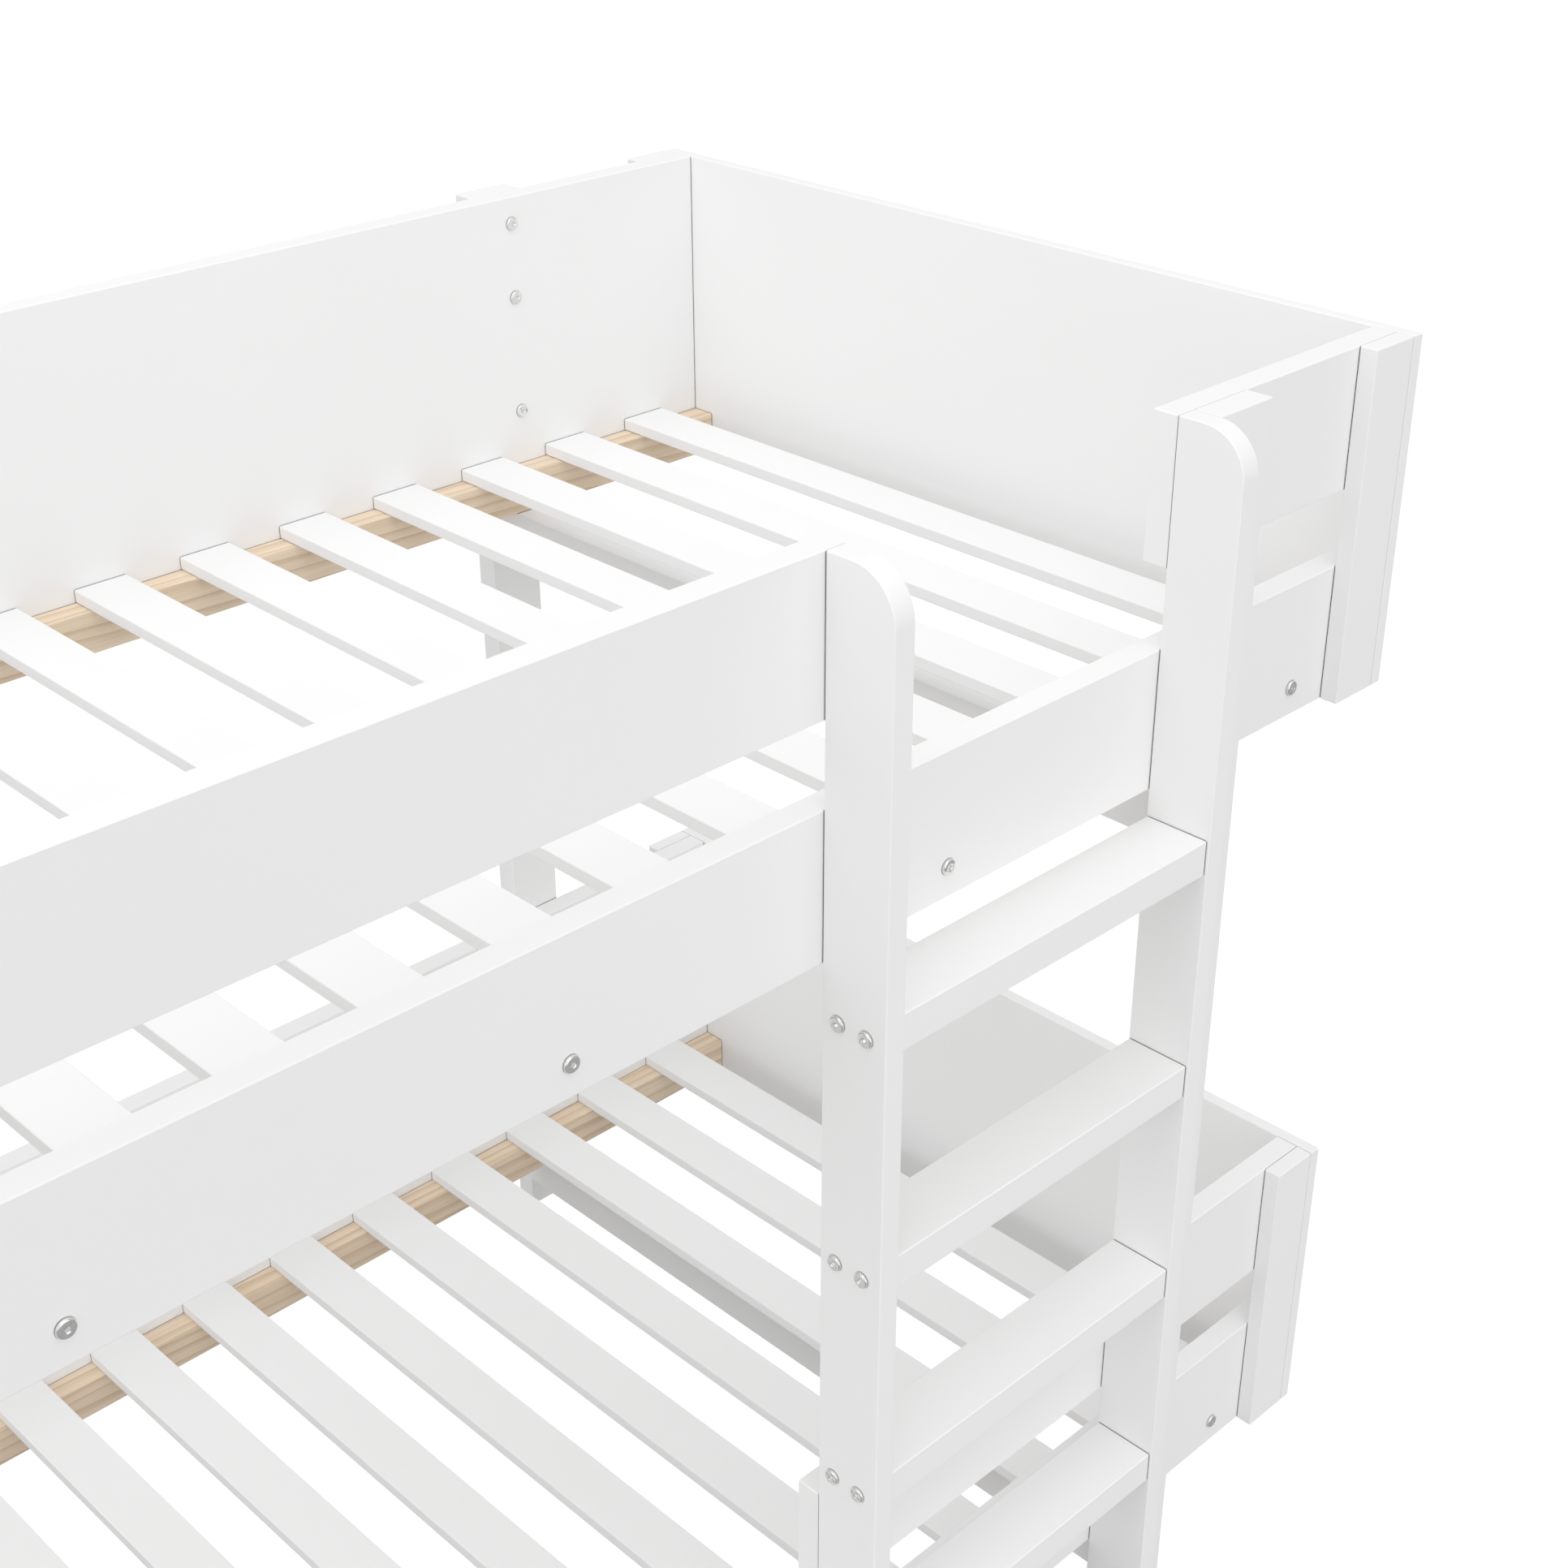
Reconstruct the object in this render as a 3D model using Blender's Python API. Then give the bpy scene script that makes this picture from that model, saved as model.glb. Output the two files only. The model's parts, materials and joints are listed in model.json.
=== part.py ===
"""Bunk bed with a ladder: two slatted bed boxes, one above the other, held by leg boards.

Metres, +Z up. The origin is on the floor, in the middle of the footprint. +X runs along the bed
towards the ladder's end, and +Y runs from the front, where the ladder is, to the back.
Both bed boxes have the same footprint: a full-height back panel, end panels that cap the long
boards, a bottom rail with guard boards above it at the front, ledgers, and slats across them.
"""

import math

import bmesh
import bpy

MM = 0.001

# Driving dimensions: the bed boxes
INNER_LENGTH = 2006 * MM
INNER_WIDTH = 930 * MM
TOTAL_HEIGHT = 1378 * MM
LEVEL_PITCH = 918 * MM
PANEL_HEIGHT = 353.5 * MM
LONG_BOARD = 26 * MM
END_BOARD = 15 * MM
FRONT_BOARD_HEIGHT = 139 * MM
POST_WIDTH = 60 * MM
POST_THICKNESS = 19 * MM

# Slats and what they lie on
SLAT_COUNT = 16
SLAT_WIDTH = 60 * MM
SLAT_THICKNESS = 14 * MM
SLAT_DROP = 293 * MM
FIRST_SLAT_GAP = 56 * MM
LEDGER_THICKNESS = 29.5 * MM
BEAM_HEIGHT = 61 * MM
BEAM_THICKNESS = 26 * MM

# Legs and ladder, measured from the right end's outer face where they stand along the bed
LEG_THICKNESS = 28 * MM
REAR_LEG_WIDTH = 69 * MM
REAR_LEG_INSET = 250 * MM
FRONT_LEG_WIDTH = 74 * MM
STILE_THICKNESS = 22 * MM
STILE_DEPTH = 70.5 * MM
STILE_TOP_RADIUS = 43 * MM
RIGHT_STILE_INSET = 321 * MM
LEFT_STILE_INSET = 738.5 * MM
TREAD_COUNT = 4
TREAD_PITCH = 241 * MM
LOWEST_TREAD_TOP = 276 * MM
TREAD_DEPTH = 67 * MM
TREAD_THICKNESS = 36 * MM
TREAD_BACK_GAP = 1 * MM

# Bolts, and where they stand below a bed box's top
BOLT_HEAD_RADIUS = 7.5 * MM
BOLT_HEAD_HEIGHT = 3.4 * MM
BOLT_RIM_SHARE = 0.3
BOLT_DOME_TURNS = (0, 30, 55)
BOLT_SHANK_RADIUS = 3 * MM
BOLT_LENGTH = 46 * MM
SOCKET_RADIUS = 2.4 * MM
SOCKET_DEPTH = 2 * MM
RAIL_BOLT_DROP = 323.5 * MM
RAIL_BOLT_OFFSETS = (-890 * MM, -404.5 * MM, 0.0, 404.5 * MM, 890 * MM)
LEG_BOLT_DROPS = (29.5 * MM, 112.5 * MM, 245 * MM)

# Workmanship
HAIRLINE = 0.3 * MM
EASE = 1 * MM
ARC_STEPS = 12
ROUND_STEPS = 12
SLAT_SEAT = 1 * MM
SEATED_EASE = 2 * MM

# Places that follow from them
HALF_LENGTH = INNER_LENGTH / 2 + END_BOARD
BOX_DEPTH = INNER_WIDTH + 2 * LONG_BOARD
FRONT = STILE_DEPTH - (STILE_DEPTH + BOX_DEPTH + LEG_THICKNESS) / 2
BACK = FRONT + BOX_DEPTH
INNER_FRONT = FRONT + LONG_BOARD
INNER_BACK = BACK - LONG_BOARD
LEVEL_TOPS = {"upper": TOTAL_HEIGHT, "lower": TOTAL_HEIGHT - LEVEL_PITCH}
RIGHT_STILE = HALF_LENGTH - RIGHT_STILE_INSET
LEFT_STILE = HALF_LENGTH - LEFT_STILE_INSET


def make_material(name, colour, roughness, metallic):
    material = bpy.data.materials.new(name)
    material.use_nodes = True
    shader = material.node_tree.nodes["Principled BSDF"]
    shader.inputs["Base Color"].default_value = (*colour, 1)
    shader.inputs["Roughness"].default_value = roughness
    shader.inputs["Metallic"].default_value = metallic
    return material


def place(name, mesh, location, material):
    """Puts a mesh in the scene as one named piece."""
    piece = bpy.data.objects.new(name, mesh)
    piece.location = location
    mesh.materials.append(material)
    bpy.context.scene.collection.objects.link(piece)
    return piece


def ease_edges(piece, width):
    bevel = piece.modifiers.new("eased edges", "BEVEL")
    bevel.width = width
    bevel.segments = 1
    bevel.limit_method = "ANGLE"
    bevel.angle_limit = math.radians(30)


def board(name, x, y, z, material, ease=EASE, on_floor=False):
    """A board between two X, two Y and two Z places, half a hairline inside each of them."""
    spans = [(min(span) + HAIRLINE / 2, max(span) - HAIRLINE / 2) for span in (x, y, z)]
    if on_floor:
        spans[2] = (min(z), spans[2][1])
    mesh = bpy.data.meshes.new(name)
    shape = bmesh.new()
    bmesh.ops.create_cube(shape, size=1)
    for vertex in shape.verts:
        vertex.co = [c * (high - low) for c, (low, high) in zip(vertex.co, spans)]
    shape.to_mesh(mesh)
    shape.free()
    piece = place(name, mesh, [(low + high) / 2 for low, high in spans], material)
    ease_edges(piece, ease)
    return piece


def bed_box(level, top, material):
    """The boards that both bed boxes have: back panel, end panels, corner posts and front rail."""
    bottom = top - PANEL_HEIGHT
    inner_x = (-INNER_LENGTH / 2, INNER_LENGTH / 2)
    board(f"{level}_back_panel", inner_x, (INNER_BACK, BACK), (bottom, top), material)
    rail = board(
        f"{level}_front_rail", inner_x, (FRONT, INNER_FRONT), (bottom, bottom + FRONT_BOARD_HEIGHT), material
    )
    end_y = (FRONT - POST_THICKNESS, BACK + POST_THICKNESS)
    for side, sign in (("left", -1), ("right", 1)):
        inner_face = sign * INNER_LENGTH / 2
        end_x = (inner_face, sign * HALF_LENGTH)
        board(f"{level}_end_panel_{side}", end_x, end_y, (bottom, top), material)
        post_x = (inner_face - sign * POST_WIDTH, inner_face)
        for face, post_y in (("front", (end_y[0], FRONT)), ("rear", (BACK, end_y[1]))):
            board(f"{level}_corner_post_{face}_{side}", post_x, post_y, (bottom, top), material)
    return rail


def guard_boards(material):
    """The upper bed's front is open between the ladder's stiles; the lower bed's is open left of the ladder."""
    boards = (
        ("upper_guard_long", -INNER_LENGTH / 2, LEFT_STILE, "upper"),
        ("upper_guard_short", RIGHT_STILE - STILE_THICKNESS, INNER_LENGTH / 2, "upper"),
        ("lower_guard", LEFT_STILE - STILE_THICKNESS, INNER_LENGTH / 2, "lower"),
    )
    for name, start, end, level in boards:
        top = LEVEL_TOPS[level]
        board(name, (start, end), (FRONT, INNER_FRONT), (top - FRONT_BOARD_HEIGHT, top), material)


def ledger_spans(top):
    """The two strips under the slats' ends: their Y spans by name, and their shared Z span."""
    places = {
        "front": (INNER_FRONT, INNER_FRONT + LEDGER_THICKNESS),
        "rear": (INNER_BACK - LEDGER_THICKNESS, INNER_BACK),
    }
    return places, (top - PANEL_HEIGHT, top - SLAT_DROP - SLAT_THICKNESS)


def slats(level, top, material, ease=EASE):
    """Sixteen slats across the bed, evenly spaced between the two end gaps, numbered from the left."""
    first = -INNER_LENGTH / 2 + FIRST_SLAT_GAP + SLAT_WIDTH / 2
    pitch = -2 * first / (SLAT_COUNT - 1)
    slat_z = (top - SLAT_DROP - SLAT_THICKNESS, top - SLAT_DROP)
    pieces = []
    for number in range(SLAT_COUNT):
        centre = first + number * pitch
        slat_x = (centre - SLAT_WIDTH / 2, centre + SLAT_WIDTH / 2)
        name = f"{level}_slat_{number + 1:02d}"
        pieces.append(board(name, slat_x, (INNER_FRONT, INNER_BACK), slat_z, material, ease))
    return pieces


def upper_ledgers(material):
    places, ledger_z = ledger_spans(LEVEL_TOPS["upper"])
    x = (-INNER_LENGTH / 2, INNER_LENGTH / 2)
    return [board(f"upper_ledger_{face}", x, y, ledger_z, material) for face, y in places.items()]


def lower_slat_base(paint, wood):
    """The lower bed's slats and ledgers as one body: the ledgers stand slightly into the slats."""
    top = LEVEL_TOPS["lower"]
    parts = bpy.data.collections.new("lower slat base parts")
    bpy.context.scene.collection.children.link(parts)
    places, (low, high) = ledger_spans(top)
    x = (-INNER_LENGTH / 2, INNER_LENGTH / 2)
    ledger_z = (low, high + SLAT_SEAT)
    base = board("lower_slat_base", x, places["rear"], ledger_z, wood, SEATED_EASE)
    joined = slats("lower", top, paint, SEATED_EASE)
    joined.append(board("lower_ledger_front", x, places["front"], ledger_z, wood, SEATED_EASE))
    for piece in joined:
        bpy.context.scene.collection.objects.unlink(piece)
        parts.objects.link(piece)
        hide_tool(piece)
    union = base.modifiers.new("slats and front ledger", "BOOLEAN")
    union.operation = "UNION"
    union.solver = "EXACT"
    union.operand_type = "COLLECTION"
    union.collection = parts


def hide_tool(piece):
    piece.hide_render = True
    piece.display_type = "WIRE"


def cross_beams(material):
    """A beam under each bed box at each pair of legs, from the front leg board to the rear leg."""
    for level, top in LEVEL_TOPS.items():
        z = (top - PANEL_HEIGHT - BEAM_HEIGHT, top - PANEL_HEIGHT)
        for side, sign in (("left", -1), ("right", 1)):
            x = (sign * RIGHT_STILE, sign * (RIGHT_STILE + BEAM_THICKNESS))
            board(f"{level}_cross_beam_{side}", x, (FRONT, BACK), z, material)


def leg_boards(material):
    """Flat boards from the floor to the top of the upper bed, outside the long boards."""
    height = (0, TOTAL_HEIGHT)
    rear_outer = HALF_LENGTH - REAR_LEG_INSET
    pieces = {}
    for side, sign in (("left", -1), ("right", 1)):
        rear_x = (sign * (rear_outer - REAR_LEG_WIDTH), sign * rear_outer)
        rear_y = (BACK, BACK + LEG_THICKNESS)
        pieces[side] = board(f"rear_leg_{side}", rear_x, rear_y, height, material, on_floor=True)
        front_x = (sign * RIGHT_STILE, sign * (RIGHT_STILE + FRONT_LEG_WIDTH))
        front_y = (FRONT - LEG_THICKNESS, FRONT)
        board(f"front_leg_{side}", front_x, front_y, height, material, on_floor=True)
    return pieces["right"]


def ladder_stile(name, right_face, material):
    """An upright on edge, with its top front corner rounded, from the floor to the top."""
    back = FRONT - HAIRLINE / 2
    front = FRONT - STILE_DEPTH
    top = TOTAL_HEIGHT - HAIRLINE / 2
    left = right_face - STILE_THICKNESS + HAIRLINE / 2
    width = STILE_THICKNESS - HAIRLINE
    outline = [(back, top), (back, 0), (front, 0)]
    for step in range(ARC_STEPS + 1):
        turn = math.radians(180 - 90 * step / ARC_STEPS)
        outline.append((
            front + STILE_TOP_RADIUS * (1 + math.cos(turn)),
            top - STILE_TOP_RADIUS * (1 - math.sin(turn)),
        ))
    mesh = bpy.data.meshes.new(name)
    shape = bmesh.new()
    face = shape.faces.new([shape.verts.new((0, y, z)) for y, z in outline])
    side = bmesh.ops.extrude_face_region(shape, geom=[face])["geom"]
    bmesh.ops.translate(shape, vec=(width, 0, 0), verts=[g for g in side if isinstance(g, bmesh.types.BMVert)])
    bmesh.ops.recalc_face_normals(shape, faces=shape.faces)
    shape.to_mesh(mesh)
    shape.free()
    ease_edges(place(name, mesh, (left, 0, 0), material), EASE)


def ladder(material):
    ladder_stile("ladder_stile_left", LEFT_STILE, material)
    ladder_stile("ladder_stile_right", RIGHT_STILE, material)
    tread_x = (LEFT_STILE, RIGHT_STILE - STILE_THICKNESS)
    back = FRONT - TREAD_BACK_GAP
    for number in range(TREAD_COUNT):
        top = LOWEST_TREAD_TOP + number * TREAD_PITCH
        z = (top - TREAD_THICKNESS, top)
        board(f"ladder_tread_{number + 1}", tread_x, (back - TREAD_DEPTH, back), z, material)


def ring(radius, height, corners=0):
    """Points round the Z axis; with corners, they lie on a regular polygon of that radius."""
    points = []
    for step in range(ROUND_STEPS):
        turn = 2 * math.pi * step / ROUND_STEPS
        reach = radius
        if corners:
            half = math.pi / corners
            reach = radius * math.cos(half) / math.cos(turn % (2 * half) - half)
        points.append((reach * math.cos(turn), reach * math.sin(turn), height))
    return points


def bolt_mesh():
    """A domed bolt head with a hexagon socket on a plain shank. Its head's seat is at Z = 0, facing up."""
    dome = []
    for turn in map(math.radians, BOLT_DOME_TURNS):
        height = BOLT_HEAD_HEIGHT * (BOLT_RIM_SHARE + (1 - BOLT_RIM_SHARE) * math.sin(turn))
        dome.append(ring(BOLT_HEAD_RADIUS * math.cos(turn), height))
    rings = [
        ring(BOLT_SHANK_RADIUS, -BOLT_LENGTH),
        ring(BOLT_SHANK_RADIUS, HAIRLINE),
        ring(BOLT_HEAD_RADIUS, HAIRLINE),
        *dome,
        ring(SOCKET_RADIUS, BOLT_HEAD_HEIGHT, corners=6),
        ring(SOCKET_RADIUS, BOLT_HEAD_HEIGHT - SOCKET_DEPTH, corners=6),
    ]
    mesh = bpy.data.meshes.new("bolt")
    shape = bmesh.new()
    loops = [[shape.verts.new(point) for point in points] for points in rings]
    shape.faces.new(reversed(loops[0]))
    shape.faces.new(loops[-1])
    for below, above in zip(loops, loops[1:]):
        for here in range(ROUND_STEPS):
            after = (here + 1) % ROUND_STEPS
            shape.faces.new((below[here], below[after], above[after], above[here]))
    bmesh.ops.recalc_face_normals(shape, faces=shape.faces)
    shape.to_mesh(mesh)
    shape.free()
    return mesh


def bolt_row(name, seats, facing, drilled, material):
    """Bolts whose heads sit at the seats, facing -Y, and a clearance hole for each in the drilled boards."""
    mesh = bolt_mesh()
    holes = bmesh.new()
    for number, seat in enumerate(seats):
        bolt = bpy.data.objects.new(f"{name}_{number + 1}", mesh)
        bolt.location = seat
        bolt.rotation_euler = facing
        bpy.context.scene.collection.objects.link(bolt)
        made = bmesh.ops.create_cone(
            holes,
            cap_ends=True,
            segments=ROUND_STEPS,
            radius1=BOLT_SHANK_RADIUS + HAIRLINE,
            radius2=BOLT_SHANK_RADIUS + HAIRLINE,
            depth=2 * (BOLT_LENGTH + HAIRLINE),
        )
        bmesh.ops.transform(holes, matrix=bolt.matrix_basis, verts=made["verts"])
    mesh.materials.append(material)
    cutter_mesh = bpy.data.meshes.new(f"{name}_holes")
    holes.to_mesh(cutter_mesh)
    holes.free()
    cutter = bpy.data.objects.new(f"{name}_holes", cutter_mesh)
    bpy.context.scene.collection.objects.link(cutter)
    hide_tool(cutter)
    for piece in drilled:
        cut = piece.modifiers.new("bolt holes", "BOOLEAN")
        cut.operation = "DIFFERENCE"
        cut.solver = "EXACT"
        cut.object = cutter


def bolts(rail, front_ledger, back_panel, rear_leg, material):
    """The upper bed's visible bolts: five through the rail into its ledger, three through the panel into a leg."""
    top = LEVEL_TOPS["upper"]
    facing_front = (math.radians(90), 0, 0)
    rail_seats = [(x, FRONT + HAIRLINE / 2, top - RAIL_BOLT_DROP) for x in RAIL_BOLT_OFFSETS]
    bolt_row("rail_bolt", rail_seats, facing_front, (rail, front_ledger), material)
    leg_x = HALF_LENGTH - REAR_LEG_INSET - REAR_LEG_WIDTH / 2
    leg_seats = [(leg_x, INNER_BACK + HAIRLINE / 2, top - drop) for drop in LEG_BOLT_DROPS]
    bolt_row("leg_bolt", leg_seats, facing_front, (back_panel, rear_leg), material)


def main():
    for old in list(bpy.data.objects):
        bpy.data.objects.remove(old)
    paint = make_material("white_paint", (0.86, 0.86, 0.86), 0.35, 0)
    wood = make_material("natural_pine", (0.72, 0.53, 0.36), 0.6, 0)
    steel = make_material("nickel_steel", (0.62, 0.62, 0.61), 0.25, 1)
    rails = {level: bed_box(level, top, paint) for level, top in LEVEL_TOPS.items()}
    guard_boards(paint)
    slats("upper", LEVEL_TOPS["upper"], paint)
    front_ledger = upper_ledgers(wood)[0]
    lower_slat_base(paint, wood)
    cross_beams(paint)
    rear_leg = leg_boards(paint)
    ladder(paint)
    back_panel = bpy.data.objects["upper_back_panel"]
    bolts(rails["upper"], front_ledger, back_panel, rear_leg, steel)


main()
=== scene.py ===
import json
import math

import bmesh
import bpy
from mathutils import Matrix, Vector


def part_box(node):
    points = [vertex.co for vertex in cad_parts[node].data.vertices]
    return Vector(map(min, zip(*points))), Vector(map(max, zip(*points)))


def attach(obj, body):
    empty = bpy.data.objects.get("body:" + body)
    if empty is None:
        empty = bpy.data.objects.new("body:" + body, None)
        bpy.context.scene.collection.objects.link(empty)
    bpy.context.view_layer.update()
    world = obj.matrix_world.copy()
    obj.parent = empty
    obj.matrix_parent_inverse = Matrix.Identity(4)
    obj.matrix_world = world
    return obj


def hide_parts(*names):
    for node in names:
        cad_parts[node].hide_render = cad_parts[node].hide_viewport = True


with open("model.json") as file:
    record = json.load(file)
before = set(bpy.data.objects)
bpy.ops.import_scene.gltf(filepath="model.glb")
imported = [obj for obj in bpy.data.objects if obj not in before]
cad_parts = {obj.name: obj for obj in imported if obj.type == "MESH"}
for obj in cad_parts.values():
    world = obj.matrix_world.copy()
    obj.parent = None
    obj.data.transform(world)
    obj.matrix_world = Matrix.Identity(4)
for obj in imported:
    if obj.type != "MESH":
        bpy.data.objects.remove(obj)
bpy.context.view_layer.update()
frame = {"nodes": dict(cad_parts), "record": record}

# The bunk bed's looks: painted boards and slats with eased edges, pine ledgers, and nickel bolts.
# Metres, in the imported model's frame: +X towards the ladder's end, +Y towards the back, +Z up.

MM = 0.001

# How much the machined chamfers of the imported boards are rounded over
EASE_WIDTH = 0.45 * MM
EASE_SEGMENTS = 3
EASE_ANGLE = math.radians(30)
WELD_DISTANCE = 0.01 * MM
NORMAL_WEIGHT = 100

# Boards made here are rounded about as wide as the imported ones
ROUND_OVER = 1.3 * MM
ROUND_SEGMENTS = 5
ROUND_PROFILE = 0.6

# Bolts: a low button head with a hexagon socket
HEAD_RADIUS = 7.5 * MM
HEAD_HEIGHT = 3.4 * MM
SHOULDER = 1.7 * MM
SHOULDER_STEPS = 8
CROWN = 0.3 * MM
FACE_SHARES = (0.75, 0.5)
SEAT_GAP = 0.3 * MM
NECK_RADIUS = 3 * MM
NECK_DEPTH = 2.5 * MM
SOCKET_RADIUS = 2.3 * MM
SOCKET_LIP = 0.5 * MM
SOCKET_DEPTH = 2.2 * MM
SOCKET_CORNERS = 6
TURN_STEPS = 48
SHARP_ANGLE = math.radians(38)

# Where bolts stand, below a bed box's top or in from a board's edge
LEG_BOLT_DROPS = (29.5 * MM, 112.5 * MM, 245 * MM)
TREAD_COUNT = 4
TREAD_BOLT_DROP = 22 * MM
TREAD_BOLT_REACHES = (18 * MM, 49 * MM)

# White paint: its tones, its gloss, and how far the painted shade in a seam between two boards reaches
PAINT_IOR = 1.4
PAINT_TONES = ((0.3, (0.872, 0.872, 0.870)), (0.7, (0.888, 0.888, 0.888)))
PAINT_CLOUD_SCALE = 2.6
PAINT_PATCH_SCALE = 9
PAINT_ROUGHNESS = (0.50, 0.60)
PAINT_PEEL_SCALE = 420
PAINT_PEEL_HEIGHT = 0.02 * MM
PAINT_WAVE_SCALE = 38
PAINT_WAVE_HEIGHT = 0.12 * MM
# Painted shade in the seams: how far the occlusion looks, its dark tone, the occlusion values that span dark
# to white, and its samples
PAINTED_SEAM_SHADE_REACH = 1.8 * MM
PAINTED_SEAM_SHADE_TONE = (0.05, 0.05, 0.05)
PAINTED_SEAM_SHADE_SPAN = (0.42, 0.82)
PAINTED_SEAM_SHADE_SAMPLES = 6

# Bare pine, whose grain runs along X: each pattern's stretch along the axes, and the tones of its rings
PINE_IOR = 1.5
PINE_DRIFT_STRETCH = (0.55, 9, 9)
PINE_DRIFT_SCALE = 1.6
PINE_RING_STRETCH = (0.05, 1, 1)
PINE_RING_SCALE = 38
PINE_RING_WANDER = 5.5
PINE_FIBRE_STRETCH = (3, 330, 330)
PINE_STREAK_STRETCH = (1.1, 70, 70)
PINE_EARLY = ((0.25, (0.80, 0.55, 0.33)), (0.5, (0.86, 0.63, 0.40)), (0.75, (0.91, 0.70, 0.48)))
PINE_LATE = ((0.3, (0.46, 0.25, 0.12)), (0.7, (0.60, 0.37, 0.20)))
PINE_LATE_START = 0.45
PINE_LATE_SHARE = 0.78
PINE_FIBRE_TONES = ((0.3, (0.80, 0.77, 0.73)), (0.62, (1, 1, 1)))
PINE_FIBRE_SHARE = 0.75
PINE_ROUGHNESS = (0.68, 0.5)
PINE_FIBRE_HEIGHT = 0.12 * MM

# Nickel plate
NICKEL_TONES = ((0.3, (0.66, 0.655, 0.64)), (0.7, (0.78, 0.775, 0.765)))
NICKEL_SMUDGE_SCALE = 260
NICKEL_ROUGHNESS = (0.07, 0.16)

# A noise's values lie mostly between these two
NOISE_LOW = 0.3
NOISE_HIGH = 0.7


def middle(node, axis):
    low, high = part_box(node)
    return (low[axis] + high[axis]) / 2


# ---------------------------------------------------------------- materials


class Shader:
    """A Principled material and the few calls that build its nodes."""

    def __init__(self, name):
        self.material = bpy.data.materials.new(name)
        self.material.use_nodes = True
        self.tree = self.material.node_tree
        self.surface = self.tree.nodes["Principled BSDF"]

    def node(self, kind, **settings):
        made = self.tree.nodes.new(kind)
        for name, value in settings.items():
            setattr(made, name, value)
        return made

    def join(self, source, target):
        self.tree.links.new(source, target)

    def set(self, **values):
        for name, value in values.items():
            self.surface.inputs[name.replace("_", " ")].default_value = value

    def places(self, stretch=(1, 1, 1)):
        """Points of the piece in metres, scaled along each axis."""
        source = self.node("ShaderNodeTexCoord")
        mapping = self.node("ShaderNodeMapping")
        mapping.inputs["Scale"].default_value = stretch
        self.join(source.outputs["Object"], mapping.inputs["Vector"])
        return mapping.outputs["Vector"]

    def noise(self, places, scale, detail=3, roughness=0.5):
        made = self.node("ShaderNodeTexNoise")
        made.inputs["Scale"].default_value = scale
        made.inputs["Detail"].default_value = detail
        made.inputs["Roughness"].default_value = roughness
        self.join(places, made.inputs["Vector"])
        return made.outputs["Fac"]

    def ramp(self, value, stops):
        """A colour ramp whose stops are (place, linear colour)."""
        made = self.node("ShaderNodeValToRGB")
        elements = made.color_ramp.elements
        while len(elements) < len(stops):
            elements.new(0.5)
        for element, (place, colour) in zip(elements, stops):
            element.position = place
            element.color = (*colour, 1)
        self.join(value, made.inputs["Fac"])
        return made.outputs["Color"]

    def spread(self, value, low, high, start=NOISE_LOW, end=NOISE_HIGH):
        """A value between start and end, mapped to low and high."""
        made = self.node("ShaderNodeMapRange")
        made.inputs["From Min"].default_value = start
        made.inputs["From Max"].default_value = end
        made.inputs["To Min"].default_value = low
        made.inputs["To Max"].default_value = high
        self.join(value, made.inputs["Value"])
        return made.outputs["Result"]

    def blend(self, share, first, second, mode="MIX"):
        """Two colours mixed or multiplied, by a share that is a number or a socket."""
        made = self.node("ShaderNodeMix", data_type="RGBA", blend_type=mode)
        share_socket, first_socket, second_socket = made.inputs[0], made.inputs[6], made.inputs[7]
        if isinstance(share, bpy.types.NodeSocket):
            self.join(share, share_socket)
        else:
            share_socket.default_value = share
        self.join(first, first_socket)
        self.join(second, second_socket)
        return made.outputs[2]

    def painted_seam_shade(self):
        """Painted shade from an ambient-occlusion node: white on open faces, falling to the dark
        painted-shade tone where another board stands within reach.
        """
        made = self.node("ShaderNodeAmbientOcclusion", samples=PAINTED_SEAM_SHADE_SAMPLES)
        made.inputs["Distance"].default_value = PAINTED_SEAM_SHADE_REACH
        closed, opened = PAINTED_SEAM_SHADE_SPAN
        return self.ramp(made.outputs["AO"], ((closed, PAINTED_SEAM_SHADE_TONE), (opened, (1, 1, 1))))

    def bump(self, height, distance, onto=None):
        """A normal for a height whose whole range is the distance, on top of another normal if given."""
        made = self.node("ShaderNodeBump")
        made.inputs["Distance"].default_value = distance
        made.inputs["Strength"].default_value = 1.0
        self.join(height, made.inputs["Height"])
        if onto is not None:
            self.join(onto, made.inputs["Normal"])
        return made.outputs["Normal"]


def white_paint():
    """Satin sprayed paint: a little uneven in tone and gloss, finely rippled, with painted shade darkening
    the seams.
    """
    paint = Shader("white_paint_satin")
    paint.set(IOR=PAINT_IOR)
    places = paint.places()
    cloud = paint.noise(places, PAINT_CLOUD_SCALE)
    tone = paint.ramp(cloud, PAINT_TONES)
    # The paint's tone is multiplied by painted shade that darkens the seams between boards
    tone = paint.blend(1.0, tone, paint.painted_seam_shade(), mode="MULTIPLY")
    paint.join(tone, paint.surface.inputs["Base Color"])
    patches = paint.noise(places, PAINT_PATCH_SCALE, detail=5, roughness=0.6)
    paint.join(paint.spread(patches, *PAINT_ROUGHNESS), paint.surface.inputs["Roughness"])
    peel = paint.noise(places, PAINT_PEEL_SCALE, detail=2)
    waves = paint.noise(places, PAINT_WAVE_SCALE, detail=2)
    normal = paint.bump(peel, PAINT_PEEL_HEIGHT)
    normal = paint.bump(waves, PAINT_WAVE_HEIGHT, onto=normal)
    paint.join(normal, paint.surface.inputs["Normal"])
    return paint.material


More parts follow.
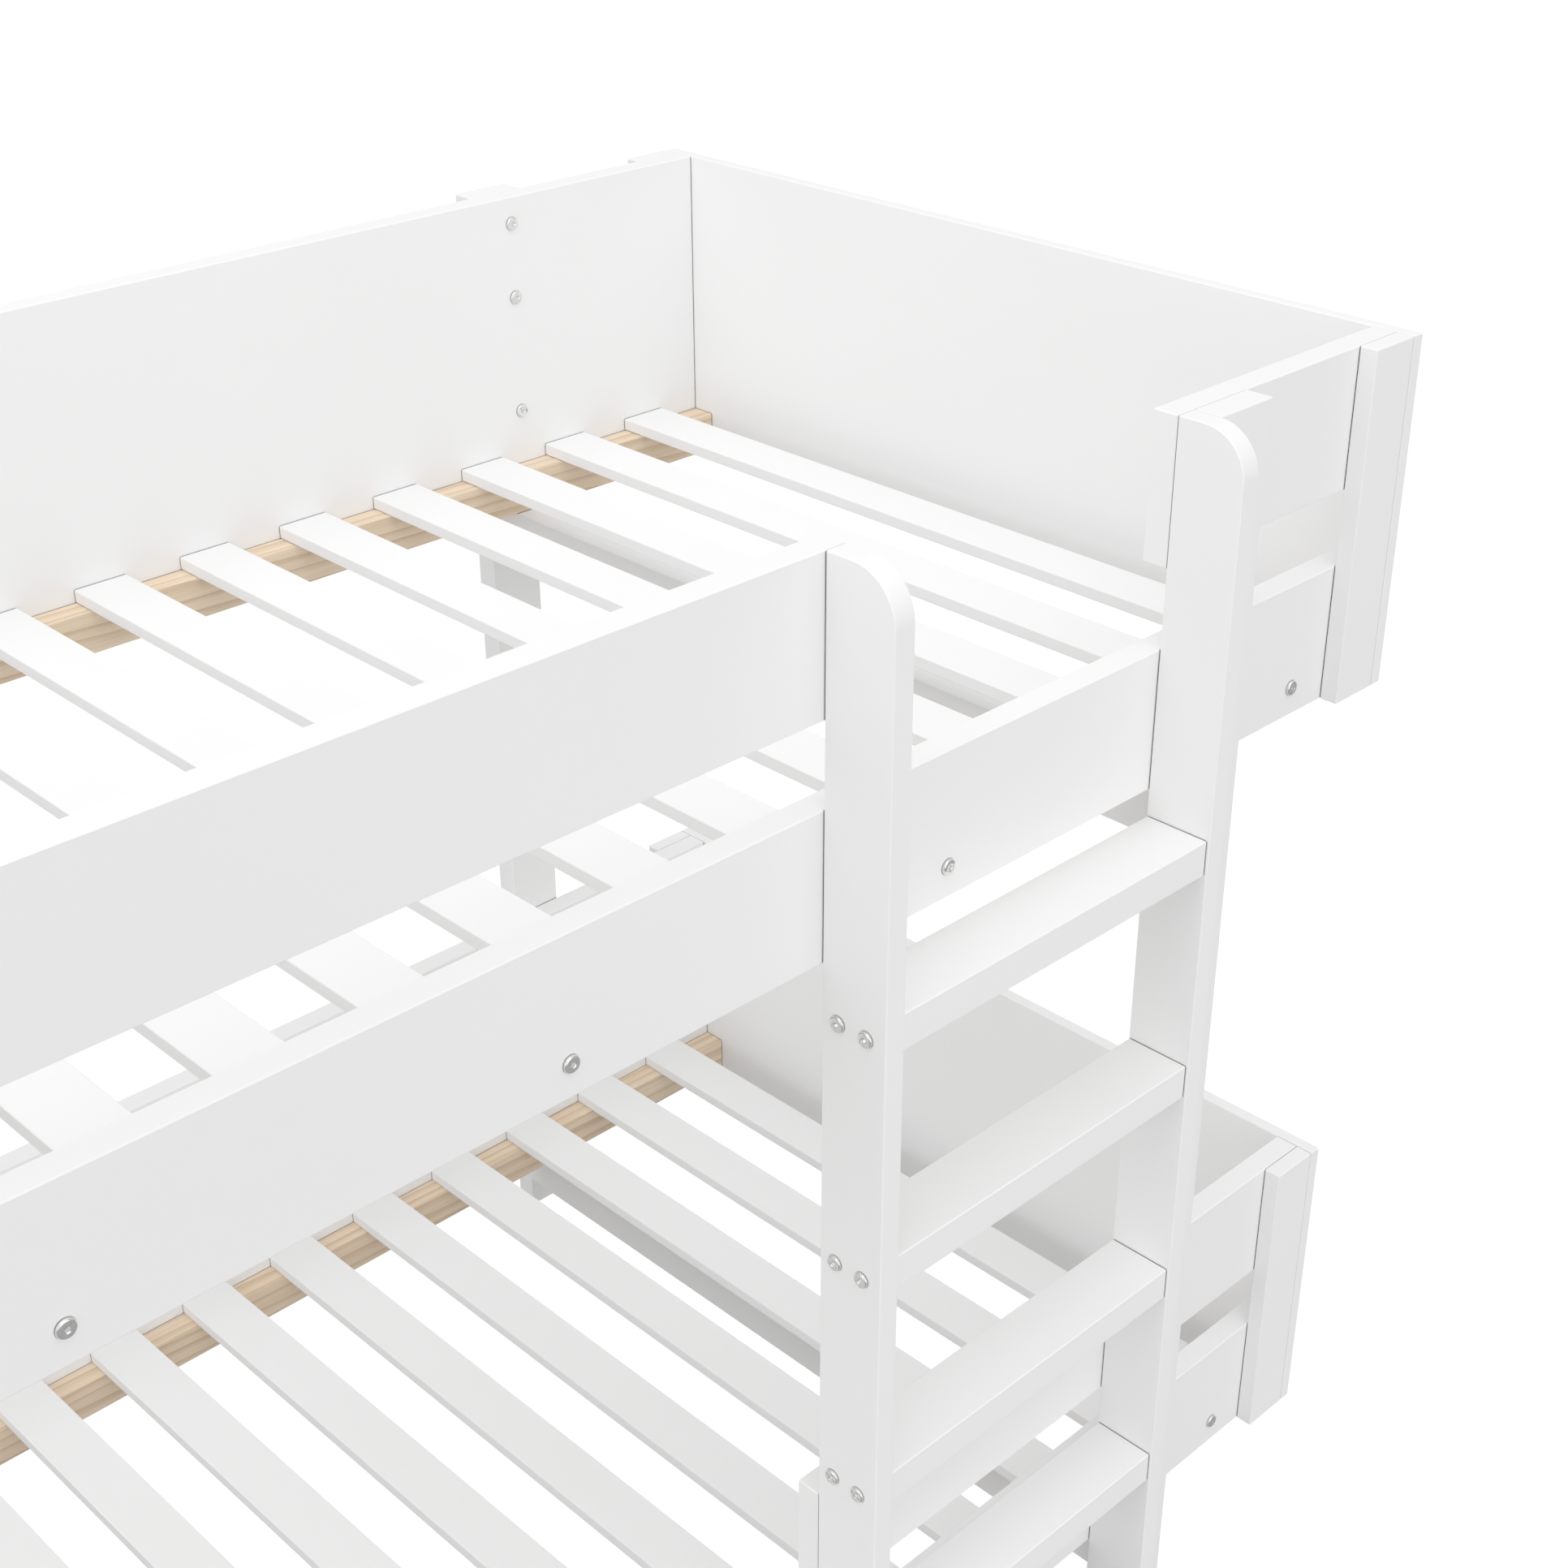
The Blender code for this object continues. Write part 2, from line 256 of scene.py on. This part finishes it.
def natural_pine():
    """Planed pine along X: growth rings cut nearly straight, fine fibres, and slow changes of tone."""
    wood = Shader("natural_pine_planed")
    wood.set(IOR=PINE_IOR)
    drift = wood.noise(wood.places(PINE_DRIFT_STRETCH), PINE_DRIFT_SCALE)
    rings = wood.node("ShaderNodeTexWave", wave_type="BANDS", bands_direction="DIAGONAL", wave_profile="SAW")
    rings.inputs["Scale"].default_value = PINE_RING_SCALE
    rings.inputs["Distortion"].default_value = PINE_RING_WANDER
    rings.inputs["Detail"].default_value = 2
    rings.inputs["Detail Scale"].default_value = 0.9
    wood.join(wood.places(PINE_RING_STRETCH), rings.inputs["Vector"])
    fibres = wood.noise(wood.places(PINE_FIBRE_STRETCH), 1, detail=4, roughness=0.65)
    streaks = wood.noise(wood.places(PINE_STREAK_STRETCH), 1, roughness=0.55)
    early = wood.ramp(drift, PINE_EARLY)
    late = wood.ramp(streaks, PINE_LATE)
    share = wood.spread(rings.outputs["Fac"], 0.0, PINE_LATE_SHARE, start=PINE_LATE_START, end=1.0)
    base = wood.blend(share, early, late)
    veil = wood.ramp(fibres, PINE_FIBRE_TONES)
    base = wood.blend(PINE_FIBRE_SHARE, base, veil, mode="MULTIPLY")
    wood.join(base, wood.surface.inputs["Base Color"])
    wood.join(wood.spread(fibres, *PINE_ROUGHNESS), wood.surface.inputs["Roughness"])
    normal = wood.bump(fibres, PINE_FIBRE_HEIGHT)
    wood.join(normal, wood.surface.inputs["Normal"])
    return wood.material


def nickel_steel():
    """Bright nickel plate over a turned head."""
    metal = Shader("nickel_plate")
    metal.set(Metallic=1.0)
    smudge = metal.noise(metal.places(), NICKEL_SMUDGE_SCALE)
    tone = metal.ramp(smudge, NICKEL_TONES)
    metal.join(tone, metal.surface.inputs["Base Color"])
    metal.join(metal.spread(smudge, *NICKEL_ROUGHNESS), metal.surface.inputs["Roughness"])
    return metal.material


MATERIALS = {
    "white_paint": white_paint(),
    "natural_pine": natural_pine(),
    "nickel_steel": nickel_steel(),
}


def add_to_scene(thing):
    bpy.context.scene.collection.objects.link(thing)
    return thing


def finish_with(piece, slot):
    piece.data.materials.clear()
    piece.data.materials.append(MATERIALS[slot])


def adopt(piece, slot):
    """A piece made here: its finish, its body and its slot."""
    finish_with(piece, slot)
    add_to_scene(piece)
    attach(piece, "root")
    return piece


# ---------------------------------------------------------------- packed boards


def flatten_faces(piece):
    """Lets the large faces set the normals, so only the edges shade round."""
    normals = piece.modifiers.new("face normals", "WEIGHTED_NORMAL")
    normals.weight = NORMAL_WEIGHT


def round_over(piece):
    """Welds a packed board's faces together and rounds the two edges of each chamfer."""
    weld = piece.modifiers.new("weld", "WELD")
    weld.merge_threshold = WELD_DISTANCE
    bevel = piece.modifiers.new("round over", "BEVEL")
    bevel.width = EASE_WIDTH
    bevel.segments = EASE_SEGMENTS
    bevel.limit_method = "ANGLE"
    bevel.angle_limit = EASE_ANGLE
    flatten_faces(piece)


SLOT_OF = {part["node"]: part["material_slot"] for part in frame["record"]["subparts"]}

for name, node in frame["nodes"].items():
    finish_with(node, SLOT_OF[name])
    for polygon in node.data.polygons:
        polygon.use_smooth = True
    if SLOT_OF[name] != "nickel_steel" and name != "lower_slat_base":
        round_over(node)


# ---------------------------------------------------------------- lower slats and ledgers


def board(name, low, high):
    """A board with rounded edges between two corners."""
    mesh = bpy.data.meshes.new(name)
    shape = bmesh.new()
    bmesh.ops.create_cube(shape, size=1)
    for vertex in shape.verts:
        for axis in range(3):
            vertex.co[axis] = high[axis] if vertex.co[axis] > 0 else low[axis]
    bmesh.ops.bevel(
        shape,
        geom=shape.edges[:],
        offset=ROUND_OVER,
        offset_type="OFFSET",
        segments=ROUND_SEGMENTS,
        profile=ROUND_PROFILE,
        affect="EDGES",
    )
    for face in shape.faces:
        face.smooth = True
    shape.to_mesh(mesh)
    shape.free()
    piece = bpy.data.objects.new(name, mesh)
    flatten_faces(piece)
    return piece


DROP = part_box("lower_front_rail")[0].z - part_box("upper_front_rail")[0].z
for name in sorted(frame["nodes"]):
    if name.startswith("upper_slat_") or name.startswith("upper_ledger_"):
        low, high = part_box(name)
        shift = Vector((0, 0, DROP))
        piece = board(name.replace("upper", "lower"), low + shift, high + shift)
        adopt(piece, SLOT_OF[name])
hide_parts("lower_slat_base")


# ---------------------------------------------------------------- bolts


def ring(radius, height, corners=0):
    """Points round the Z axis; with corners, on a regular polygon of that radius."""
    points = []
    for step in range(TURN_STEPS):
        turn = 2 * math.pi * step / TURN_STEPS
        reach = radius
        if corners:
            half = math.pi / corners
            reach = radius * math.cos(half) / math.cos(turn % (2 * half) - half)
        points.append((reach * math.cos(turn), reach * math.sin(turn), height))
    return points


def bolt_head():
    """A low button head with its seat at Z = 0: round shoulder, almost flat face and a hexagon socket."""
    profile = [(NECK_RADIUS, -NECK_DEPTH), (NECK_RADIUS, SEAT_GAP), (HEAD_RADIUS - SEAT_GAP, SEAT_GAP)]
    for step in range(SHOULDER_STEPS + 1):
        turn = math.pi / 2 * step / SHOULDER_STEPS
        profile.append((
            HEAD_RADIUS - SHOULDER * (1 - math.cos(turn)),
            HEAD_HEIGHT - CROWN - SHOULDER * (1 - math.sin(turn)),
        ))
    flat = HEAD_RADIUS - SHOULDER
    for share in FACE_SHARES:
        profile.append((flat * share, HEAD_HEIGHT - CROWN * share * share))
    rings = [ring(radius, height) for radius, height in profile]
    rings.append(ring(SOCKET_RADIUS + SOCKET_LIP, HEAD_HEIGHT - SOCKET_LIP / 4))
    rings.append(ring(SOCKET_RADIUS, HEAD_HEIGHT - SOCKET_LIP, corners=SOCKET_CORNERS))
    rings.append(ring(SOCKET_RADIUS, HEAD_HEIGHT - SOCKET_DEPTH, corners=SOCKET_CORNERS))
    mesh = bpy.data.meshes.new("bolt_head")
    shape = bmesh.new()
    loops = [[shape.verts.new(point) for point in points] for points in rings]
    shape.faces.new(reversed(loops[0]))
    socket_floor = shape.faces.new(loops[-1])
    for below, above in zip(loops, loops[1:]):
        for here in range(TURN_STEPS):
            after = (here + 1) % TURN_STEPS
            shape.faces.new((below[here], below[after], above[after], above[here]))
    bmesh.ops.poke(shape, faces=[socket_floor], offset=-SOCKET_LIP)
    bmesh.ops.recalc_face_normals(shape, faces=shape.faces)
    shape.to_mesh(mesh)
    shape.free()
    mesh.shade_smooth()
    mesh.set_sharp_from_angle(angle=SHARP_ANGLE)
    return mesh


HEAD = bolt_head()
FACING = {
    "front": Matrix.Rotation(math.radians(90), 4, "X"),
    "back": Matrix.Rotation(math.radians(-90), 4, "X"),
    "left": Matrix.Rotation(math.radians(-90), 4, "Y"),
    "right": Matrix.Rotation(math.radians(90), 4, "Y"),
}


def bolt(name, seat, facing):
    """A bolt head whose seat is at a point on a board's face, and whose top faces away from the board."""
    mesh = HEAD.copy()
    mesh.transform(Matrix.Translation(seat) @ FACING[facing])
    return adopt(bpy.data.objects.new(name, mesh), "nickel_steel")


RAIL_BOLTS_X = [middle(node, 0) for node in sorted(frame["nodes"]) if node.startswith("rail_bolt_")]
TOPS = {level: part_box(f"{level}_back_panel")[1].z for level in ("upper", "lower")}
RAIL_BOLT_DROP = TOPS["upper"] - middle("rail_bolt_1", 2)

for level, top in TOPS.items():
    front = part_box(f"{level}_front_rail")[0].y
    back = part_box(f"{level}_back_panel")[1].y
    for number, x in enumerate(RAIL_BOLTS_X, start=1):
        z = top - RAIL_BOLT_DROP
        head = bolt(f"{level}_rail_bolt_head_{number}", (x, front, z), "front")
        if level == "upper":
            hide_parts(f"rail_bolt_{number}")
        bolt(f"{level}_panel_bolt_head_{number}", (x, back, z), "back")
    for side in ("left", "right"):
        x = middle(f"rear_leg_{side}", 0)
        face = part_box(f"{level}_back_panel")[0].y
        for number, drop in enumerate(LEG_BOLT_DROPS, start=1):
            head = bolt(f"{level}_{side}_leg_bolt_head_{number}", (x, face, top - drop), "front")
            if level == "upper" and side == "right":
                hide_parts(f"leg_bolt_{number}")
        x = middle(f"front_leg_{side}", 0)
        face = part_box(f"{level}_front_rail")[1].y
        guarded = level == "upper" or side == "right"
        for number, drop in enumerate(LEG_BOLT_DROPS, start=1):
            if guarded or drop == LEG_BOLT_DROPS[-1]:
                bolt(f"{level}_{side}_front_leg_bolt_head_{number}", (x, face, top - drop), "back")

STILE_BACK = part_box("ladder_stile_left")[1].y
for tread in range(1, TREAD_COUNT + 1):
    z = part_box(f"ladder_tread_{tread}")[1].z - TREAD_BOLT_DROP
    for number, reach in enumerate(TREAD_BOLT_REACHES, start=1):
        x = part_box("ladder_stile_left")[0].x
        bolt(f"tread_{tread}_left_bolt_head_{number}", (x, STILE_BACK - reach, z), "left")
    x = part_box("ladder_stile_right")[1].x
    bolt(f"tread_{tread}_right_bolt_head", (x, STILE_BACK - TREAD_BOLT_REACHES[1], z), "right")


# ---------------------------------------------------------------- camera, floor and light


# The studio: a pale floor that curves up into a wall, far out
FLOOR_RADIUS = 18
COVE_RADIUS = 6
WALL_HEIGHT = 30
COVE_STEPS = 12
STUDIO_SIDES = 64
FLOOR_TONE = 0.15
FLOOR_ROUGHNESS = 0.9
FLOOR_GLOW = 1.0

# The light from above and below the horizon, and how far the change between them reaches
DOME_ABOVE = 0.45
DOME_BELOW = 0.25
HORIZON_BLEND = 0.15

DISPLAY_GAMMA = 1.7
CAMERA_PLACE = (-0.8889, -1.5939, 2.0376)
CAMERA_TURN = (62.063, 0.049, -44.514)
CAMERA_LENS = 54.86
CAMERA_SENSOR = 36

# Wide soft lights: strength, then their width, side (0 is -Y and 90 is +X) and height in degrees
SUNS = {
    "overhead_sky": (0.86, 90, 0, 90),
    "left_front_sky": (0.50, 90, -45, 35),
    "front_sky": (0.30, 90, 0, 35),
}

# Square lights: power in watts, length of a side, place, and the point that they face
BOXES = {
    "left_box": (33, 2.5, (-3.2, 0.2, 1.4), (0, 0, 0.7)),
    "front_box": (22, 2.5, (0.2, -3.6, 1.3), (0.2, 0, 0.6)),
    "overhead_box": (26, 3.0, (-0.8, 0, 4.0), (-0.3, 0, 1)),
}


def soft_sun(name, energy, width, azimuth, elevation):
    lamp = add_to_scene(bpy.data.objects.new(name, bpy.data.lights.new(name, "SUN")))
    lamp.data.energy = energy
    lamp.data.angle = math.radians(width)
    lamp.rotation_euler = (math.radians(90 - elevation), 0, math.radians(azimuth))


def soft_box(name, power, size, location, target):
    lamp = add_to_scene(bpy.data.objects.new(name, bpy.data.lights.new(name, "AREA")))
    lamp.data.energy = power
    lamp.data.size = size
    lamp.location = location
    lamp.rotation_euler = (Vector(target) - Vector(location)).to_track_quat("-Z", "Y").to_euler()


def soft_dome():
    """An even light all round, weaker below the horizon."""
    world = bpy.data.worlds.new("soft_dome")
    world.use_nodes = True
    tree = world.node_tree
    direction = tree.nodes.new("ShaderNodeTexCoord")
    parts = tree.nodes.new("ShaderNodeSeparateXYZ")
    strength = tree.nodes.new("ShaderNodeMapRange")
    strength.inputs["From Min"].default_value = -HORIZON_BLEND
    strength.inputs["From Max"].default_value = HORIZON_BLEND
    strength.inputs["To Min"].default_value = DOME_BELOW
    strength.inputs["To Max"].default_value = DOME_ABOVE
    dome = tree.nodes["Background"]
    dome.inputs["Color"].default_value = (1, 1, 1, 1)
    tree.links.new(direction.outputs["Generated"], parts.inputs["Vector"])
    tree.links.new(parts.outputs["Z"], strength.inputs["Value"])
    tree.links.new(strength.outputs["Result"], dome.inputs["Strength"])
    bpy.context.scene.world = world


def pale_floor():
    """Floor, cove and wall as one turned sheet. It glows evenly and adds no light to the bed."""
    profile = [(0, 0), (FLOOR_RADIUS, 0)]
    for step in range(1, COVE_STEPS + 1):
        turn = math.pi / 2 * step / COVE_STEPS
        profile.append((FLOOR_RADIUS + COVE_RADIUS * math.sin(turn), COVE_RADIUS * (1 - math.cos(turn))))
    profile.append((FLOOR_RADIUS + COVE_RADIUS, WALL_HEIGHT))
    mesh = bpy.data.meshes.new("floor")
    shape = bmesh.new()
    points = [shape.verts.new((reach, 0, height)) for reach, height in profile]
    lines = [shape.edges.new(pair) for pair in zip(points, points[1:])]
    bmesh.ops.spin(
        shape,
        geom=points + lines,
        axis=(0, 0, 1),
        cent=(0, 0, 0),
        angle=2 * math.pi,
        steps=STUDIO_SIDES,
        use_merge=True,
    )
    bmesh.ops.remove_doubles(shape, verts=shape.verts, dist=MM)
    shape.to_mesh(mesh)
    shape.free()
    mesh.shade_smooth()
    pale = Shader("pale_floor")
    pale.set(Base_Color=(FLOOR_TONE, FLOOR_TONE, FLOOR_TONE, 1), Roughness=FLOOR_ROUGHNESS)
    pale.set(Emission_Color=(1, 1, 1, 1), Emission_Strength=FLOOR_GLOW, Specular_IOR_Level=0)
    mesh.materials.append(pale.material)
    floor = add_to_scene(bpy.data.objects.new("floor", mesh))
    floor.visible_diffuse = False
    floor.visible_glossy = False
    floor.visible_shadow = False


def studio():
    camera = add_to_scene(bpy.data.objects.new("camera", bpy.data.cameras.new("camera")))
    camera.data.lens = CAMERA_LENS
    camera.data.sensor_width = CAMERA_SENSOR
    camera.location = CAMERA_PLACE
    camera.rotation_euler = [math.radians(turn) for turn in CAMERA_TURN]
    bpy.context.scene.camera = camera
    pale_floor()
    soft_dome()
    for name, settings in SUNS.items():
        soft_sun(name, *settings)
    for name, settings in BOXES.items():
        soft_box(name, *settings)
    view = bpy.context.scene.view_settings
    view.view_transform = "Standard"
    view.gamma = DISPLAY_GAMMA


studio()
